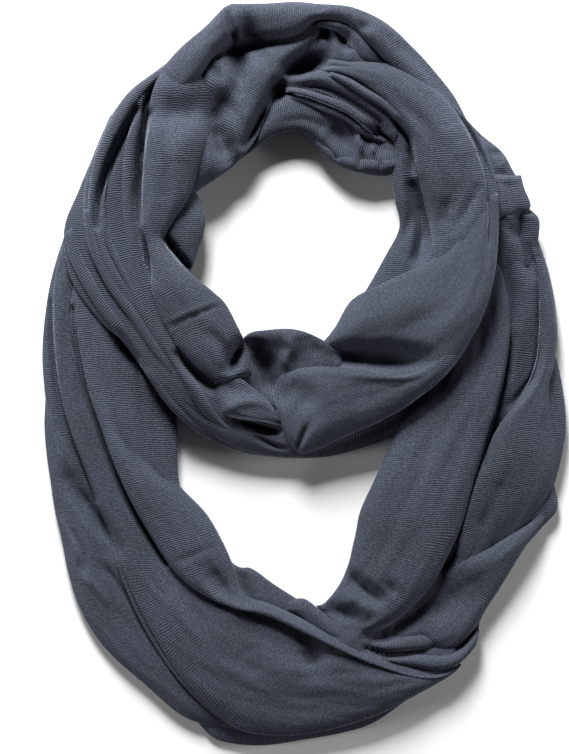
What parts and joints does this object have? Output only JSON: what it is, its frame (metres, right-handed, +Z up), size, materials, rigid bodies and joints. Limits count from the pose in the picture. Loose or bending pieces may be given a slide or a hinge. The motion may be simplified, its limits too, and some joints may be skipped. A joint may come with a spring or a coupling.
{
  "type": "infinity scarf",
  "caption": "Infinity scarf of fine slate-grey rib jersey, wound into two loops and laid flat, with soft lengthwise folds.",
  "frame": {"origin": "under the middle of the laid scarf, on the table", "axes": "+Y from the bottom of the long loop to the back of the neck, +Z up from the table, +X to the side with the joining seam"},
  "size_m": [0.3595, 0.508, 0.04],
  "materials": {
    "jersey": "matte fine rib knit"
  },
  "bodies": {
    "root": {"outer_left": "jersey", "outer_bottom": "jersey", "outer_right": "jersey", "neck_layers": "jersey", "seam_bunch": "jersey", "neck_back": "jersey", "neck_pleats": "jersey", "neck_left": "jersey", "neck_top": "jersey", "neck_front": "jersey"}
  },
  "joints": []
}
